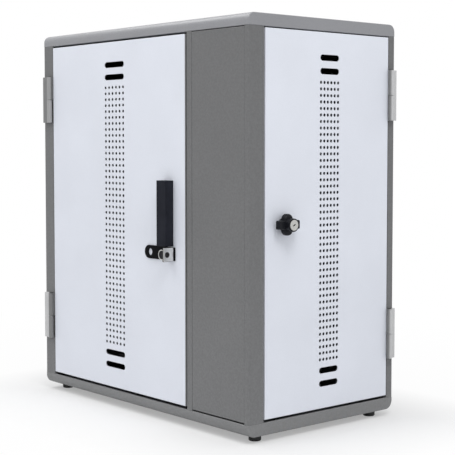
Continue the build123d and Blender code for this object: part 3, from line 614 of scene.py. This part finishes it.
class CABINET_OT_caps(bpy.types.Operator):
    """Finish the top cap and the base cap"""

    bl_idname = "cabinet.caps"
    bl_label = "Caps"

    def execute(self, context):
        colours, coating = context.scene.cabinet_colours, context.scene.cabinet_coating
        dress(powder_coat("cap_grey_coat", colours.cap_grey, coating, gloss=0.3), "top_cap")
        dress(powder_coat("base_grey_coat", colours.base_grey, coating, mottle=0.15), "base_cap")
        return {"FINISHED"}


class CABINET_OT_doors(bpy.types.Operator):
    """Finish both doors and the stiffeners inside them"""

    bl_idname = "cabinet.doors"
    bl_label = "Doors"

    def execute(self, context):
        colours, coating = context.scene.cabinet_colours, context.scene.cabinet_coating
        white = {"gloss": 0.4, "pepper": 0.03, "edge_gain": 0.2}
        coat = powder_coat("door_white_coat", colours.door_white, coating, **white)
        dress(coat, "side_door", "front_stiffeners", "side_stiffeners")
        shaded_returns = powder_coat("front_door_shaded_returns_coat", colours.door_white, coating, **white)
        # Painted shade: the front door's upright returns, shaded in the gaps beside it, are
        # blended to grey
        paint_shade_on_sides(shaded_returns, times(colours.frame_grey, 1.45))
        dress(shaded_returns, "front_door")
        return {"FINISHED"}


class CABINET_OT_hinges(bpy.types.Operator):
    """Finish the hinge leaves, their pins and their screws"""

    bl_idname = "cabinet.hinges"
    bl_label = "Hinges"

    def execute(self, context):
        zinc = satin_metal("zinc_plate", (0.45, 0.45, 0.43), gloss=0.3)
        grey = context.scene.cabinet_colours.hinge_grey
        # Lit and shaded copies of the hinge grey: painted reflections on knuckles and leaves,
        # painted shade on door leaves
        light, middle, dark, dim = [times(grey, share) for share in (1.0, 0.6, 0.34, 0.22)]
        pins = "front_hinge_pins"
        paint = hinge_with_painted_reflections("front_hinge_painted_reflections", pins, light, dark, dark, middle, reach=0.0042)
        dress(paint, "front_stile_leaves")
        # The door leaves lie in the gap beside the door: their dim tone is painted shade
        paint = hinge_with_painted_reflections("front_door_leaf_painted_shade", pins, dim, dark, dim, middle, reach=0.004)
        dress(paint, "front_door_leaves")
        pins = "side_hinge_pins"
        # The side hinge's knuckle tone is moved aside: the barrel's back takes the bright leaf
        # tone as a painted highlight
        paint = hinge_with_painted_reflections(
            "side_hinge_painted_reflections", pins, light, dark, light, dark, reach=0.003, aside=-0.0015
        )
        dress(paint, "side_stile_leaves", "side_door_leaves")
        # Pins in a dark steel
        dark_pin_steel = satin_metal("pin_steel", (0.12, 0.12, 0.12), gloss=0.4)
        dress(dark_pin_steel, "front_hinge_pins", "side_hinge_pins")
        dress(zinc, "stile_leaf_screws", "front_leaf_screws", "side_leaf_screws")
        return {"FINISHED"}


class CABINET_OT_pull(bpy.types.Operator):
    """Finish the fixed pull and the padlock plate below it"""

    bl_idname = "cabinet.pull"
    bl_label = "Pull and Padlock Plate"

    def execute(self, context):
        black = context.scene.cabinet_colours.lock_black
        pull_coat = moulded_plastic("pull_black", times(black, 2.4), gloss=0.45, shine=0.025)
        plate_coat = moulded_plastic("plate_black", times(black, 0.45), gloss=0.5, shine=0.04)
        dress(pull_coat, "pull_handle")
        dress(plate_coat, "latch_plate")
        return {"FINISHED"}


class CABINET_OT_padlock_tab(bpy.types.Operator):
    """Finish the turning hub, its ring, the padlock tab and the cam behind the door"""

    bl_idname = "cabinet.padlock_tab"
    bl_label = "Padlock Tab"

    def execute(self, context):
        lock_black = context.scene.cabinet_colours.lock_black
        black = moulded_plastic("hub_black", lock_black, gloss=0.4, shine=0.16)
        bright = satin_metal("ring_nickel", (0.80, 0.80, 0.78), gloss=0.3, grain_size=0.0005)
        zinc = satin_metal("cam_zinc", ZINC, gloss=0.3)
        dress(black, "latch_hub")
        dress(bright, "hub_ring")
        dress(tab_with_shaded_edges("tab_steel_shaded_edges"), "padlock_tab")
        dress(zinc, "latch_cam", "latch_cam_fixings")
        return {"FINISHED"}


class CABINET_OT_side_lock(bpy.types.Operator):
    """Finish the wing knob, its base, the key plug and the cam behind the door"""

    bl_idname = "cabinet.side_lock"
    bl_label = "Side Lock"

    def execute(self, context):
        lock_black = context.scene.cabinet_colours.lock_black
        black = moulded_plastic("knob_black", lock_black, gloss=0.36, shine=0.16)
        bright = satin_metal("plug_nickel", (0.56, 0.56, 0.54), gloss=0.32, grain_size=0.0004)
        zinc = satin_metal("side_cam_zinc", ZINC, gloss=0.3)
        dress(black, "knob_base", "wing_knob")
        dress(bright, "key_plug")
        dress(zinc, "knob_cam", "knob_cam_fixings")
        return {"FINISHED"}


class CABINET_OT_bays(bpy.types.Operator):
    """Finish the decks, the divider, the shelves with their cleats and the adapter trays"""

    bl_idname = "cabinet.bays"
    bl_label = "Tablet Bays"

    def execute(self, context):
        colours, coating = context.scene.cabinet_colours, context.scene.cabinet_coating
        coat = powder_coat("inner_grey_coat", colours.inner_grey, coating, gloss=0.5)
        dress(coat, "floor_deck", "ceiling_deck", "divider", "shelf_cleats")
        for start in ("shelf_0", "shelf_1", "adapter_tray_"):
            dress(coat, *nodes_named(start))
        return {"FINISHED"}


class CABINET_OT_power(bpy.types.Operator):
    """Finish the power strip, the outlets and the control unit"""

    bl_idname = "cabinet.power"
    bl_label = "Power Side"

    def execute(self, context):
        strip = moulded_plastic("strip_black", (0.035, 0.035, 0.038), gloss=0.45)
        sockets = moulded_plastic("socket_black", (0.016, 0.016, 0.017), gloss=0.35)
        unit = moulded_plastic("unit_grey", (0.09, 0.092, 0.1), gloss=0.42, grain_size=0.0009)
        dress(strip, "power_strip")
        dress(sockets, "outlet_sockets")
        dress(unit, "control_unit")
        return {"FINISHED"}


class CABINET_OT_mains(bpy.types.Operator):
    """Finish the power inlet and the mains switch in the back panel"""

    bl_idname = "cabinet.mains"
    bl_label = "Inlet and Switch"

    def execute(self, context):
        black = moulded_plastic("inlet_black", (0.02, 0.02, 0.021), gloss=0.36)
        rocker = moulded_plastic("rocker_black", (0.012, 0.012, 0.013), gloss=0.25)
        dress(black, "power_inlet", "switch_housing")
        dress(rocker, "rocker_switch")
        return {"FINISHED"}


class CABINET_OT_feet(bpy.types.Operator):
    """Finish the rubber feet, their screws and the pads behind the doors"""

    bl_idname = "cabinet.feet"
    bl_label = "Feet and Pads"

    def execute(self, context):
        rubber = moulded_plastic(
            "foot_rubber",
            (0.012, 0.012, 0.012),
            gloss=0.55,
            grain_size=0.0005,
            grain_height=0.00003,
        )
        zinc = satin_metal("screw_zinc", ZINC, gloss=0.3)
        dress(rubber, "feet", "door_pads")
        dress(zinc, "foot_screws")
        return {"FINISHED"}


class CABINET_OT_studio(bpy.types.Operator):
    """Lay the pale floor, hang the lamps and set up the camera"""

    bl_idname = "cabinet.studio"
    bl_label = "Studio"

    def execute(self, context):
        scene = context.scene
        studio = scene.cabinet_studio
        scene.view_settings.view_transform = "Standard"
        self.lay_floor(scene)
        self.light_sky(scene, studio)
        self.hang_lamp(scene, "key_lamp", (-0.3, -1.35, 2.0), (0.0, 0.0, 0.3), studio.key_power)
        self.hang_lamp(scene, "top_lamp", (-0.95, -0.3, 1.75), (0.0, -0.15, 0.5), studio.top_power)
        self.hang_lamp(scene, "fill_lamp", (1.45, -0.65, 2.0), (0.1, 0.0, 0.3), studio.fill_power)
        self.set_camera(scene, studio)
        return {"FINISHED"}

    def lay_floor(self, scene):
        """Pale paper that keeps the cabinet's soft shade and turns white away from it."""
        shape = bmesh.new()
        bmesh.ops.create_grid(
            shape, x_segments=FLOOR_CELLS, y_segments=FLOOR_CELLS, size=FLOOR_REACH
        )
        mesh = bpy.data.meshes.new("floor")
        shape.to_mesh(mesh)
        shape.free()
        floor = bpy.data.objects.new("floor", mesh)
        scene.collection.objects.link(floor)
        paper, tree, shader = start_finish("floor_paper")
        place = place_on_piece(tree)
        shader.inputs["Roughness"].default_value = 0.9
        shader.inputs["Specular IOR Level"].default_value = 0.1
        tone = fit_noise(tree, noise(tree, place, size=0.5))
        paper_colour = blend_colours(tree, tone, (0.76, 0.76, 0.76), (0.79, 0.79, 0.79))
        tree.links.new(paper_colour, shader.inputs["Base Color"])
        away = self.away_from_cabinet(tree, place)
        whiteness, seen = self.white_away_from_cabinet(tree, away)
        share = reckon(tree, "MULTIPLY", whiteness, seen)
        white = put(tree, "ShaderNodeEmission", {"Color": WHITE, "Strength": 1.0})
        mixed = put(
            tree,
            "ShaderNodeMixShader",
            {0: share, 1: shader.outputs["BSDF"], 2: white.outputs["Emission"]},
        )
        tree.links.new(mixed.outputs[0], tree.nodes["Material Output"].inputs["Surface"])
        mesh.materials.append(paper)

    def away_from_cabinet(self, tree, place):
        """Distance of a place on the floor from the cabinet's outline."""
        low, high = cad_box
        half = ((high[0] - low[0]) / 2, (high[1] - low[1]) / 2, 1.0)
        folded = reckon_vectors(tree, "ABSOLUTE", place)["Vector"]
        outside = reckon_vectors(tree, "SUBTRACT", folded, half)["Vector"]
        kept = reckon_vectors(tree, "MAXIMUM", outside, (0, 0, 0))["Vector"]
        return reckon_vectors(tree, "LENGTH", kept)["Value"]

    def white_away_from_cabinet(self, tree, away):
        """How white the floor is at a distance, and which rays see it so."""
        near = fit(tree, away, 0.0, SHADE_REACH, WHITE_AT_FOOT, WHITE_PAST_SHADE)
        beyond = fit(tree, away, SHADE_REACH, ALL_WHITE_FROM, 0.0, 1.0 - WHITE_PAST_SHADE)
        rays = put(tree, "ShaderNodeLightPath").outputs
        clear_of_it = fit(tree, away, MIRRORED_FROM, ALL_WHITE_FROM, 0.0, 1.0)
        mirrored = reckon(tree, "MULTIPLY", rays["Is Glossy Ray"], clear_of_it)
        seen = reckon(tree, "MAXIMUM", rays["Is Camera Ray"], mirrored)
        return reckon(tree, "ADD", near, beyond), seen

    def light_sky(self, scene, studio):
        """Even light that is a little brighter above, and plain white where it is seen."""
        world = bpy.data.worlds.new("studio_white")
        world.use_nodes = True
        scene.world = world
        tree = world.node_tree
        tree.nodes.clear()
        out = put(tree, "ShaderNodeOutputWorld")
        heading = put(tree, "ShaderNodeTexCoord").outputs["Generated"]
        below = studio.sky_strength * (1 - SKY_SPREAD)
        above = studio.sky_strength * (1 + SKY_SPREAD)
        level = fit(tree, along(tree, heading, "Z"), -1.0, 1.0, below, above)
        lit = put(tree, "ShaderNodeBackground", {"Color": SKY_WHITE, "Strength": level})
        seen = put(tree, "ShaderNodeBackground", {"Color": WHITE, "Strength": 1.0})
        rays = put(tree, "ShaderNodeLightPath").outputs
        direct = reckon(tree, "MAXIMUM", rays["Is Camera Ray"], rays["Is Glossy Ray"])
        share = reckon(tree, "MAXIMUM", direct, rays["Is Transmission Ray"])
        mixed = put(
            tree,
            "ShaderNodeMixShader",
            {0: share, 1: lit.outputs["Background"], 2: seen.outputs["Background"]},
        )
        tree.links.new(mixed.outputs[0], out.inputs["Surface"])

    def hang_lamp(self, scene, name, place, target, power):
        light = bpy.data.lights.new(name, "AREA")
        light.shape = "SQUARE"
        light.size = LAMP_WIDTH
        light.energy = power
        lamp = bpy.data.objects.new(name, light)
        scene.collection.objects.link(lamp)
        lamp.location = place
        lamp.rotation_euler = (Vector(target) - Vector(place)).to_track_quat("-Z", "Y").to_euler()

    def set_camera(self, scene, studio):
        optics = bpy.data.cameras.new("camera")
        optics.sensor_width = SENSOR_WIDTH
        optics.lens = studio.lens
        optics.shift_y = studio.lens_shift
        optics.dof.use_dof = False
        camera = bpy.data.objects.new("camera", optics)
        scene.collection.objects.link(camera)
        camera.location = studio.camera_place
        camera.rotation_euler = (math.pi / 2 - studio.camera_drop, 0, studio.camera_turn)
        scene.camera = camera


OPERATORS = (
    CABINET_OT_frame,
    CABINET_OT_caps,
    CABINET_OT_doors,
    CABINET_OT_hinges,
    CABINET_OT_pull,
    CABINET_OT_padlock_tab,
    CABINET_OT_side_lock,
    CABINET_OT_bays,
    CABINET_OT_power,
    CABINET_OT_mains,
    CABINET_OT_feet,
    CABINET_OT_studio,
)


class CABINET_PT_sidebar(bpy.types.Panel):
    """The cabinet's sizes, colours and pieces"""

    bl_label = "Cabinet"
    bl_idname = "CABINET_PT_sidebar"
    bl_space_type = "VIEW_3D"
    bl_region_type = "UI"
    bl_category = "Cabinet"

    def draw(self, context):
        scene = context.scene
        for group in (scene.cabinet_colours, scene.cabinet_coating, scene.cabinet_studio):
            column = self.layout.column(align=True)
            for name in group.__annotations__:
                column.prop(group, name)
        column = self.layout.column(align=True)
        for operator in OPERATORS:
            column.operator(operator.bl_idname)


GROUPS = {
    "cabinet_colours": CabinetColours,
    "cabinet_coating": CabinetCoating,
    "cabinet_studio": CabinetStudio,
}


def register():
    for name, group in GROUPS.items():
        bpy.utils.register_class(group)
        setattr(bpy.types.Scene, name, bpy.props.PointerProperty(type=group))
    for operator in OPERATORS:
        bpy.utils.register_class(operator)
    bpy.utils.register_class(CABINET_PT_sidebar)


def unregister():
    bpy.utils.unregister_class(CABINET_PT_sidebar)
    for operator in reversed(OPERATORS):
        bpy.utils.unregister_class(operator)
    for name, group in reversed(GROUPS.items()):
        delattr(bpy.types.Scene, name)
        bpy.utils.unregister_class(group)


def main():
    register()
    bpy.ops.cabinet.frame()
    bpy.ops.cabinet.caps()
    bpy.ops.cabinet.doors()
    bpy.ops.cabinet.hinges()
    bpy.ops.cabinet.pull()
    bpy.ops.cabinet.padlock_tab()
    bpy.ops.cabinet.side_lock()
    bpy.ops.cabinet.bays()
    bpy.ops.cabinet.power()
    bpy.ops.cabinet.mains()
    bpy.ops.cabinet.feet()
    bpy.ops.cabinet.studio()


if __name__ == "__main__":
    main()
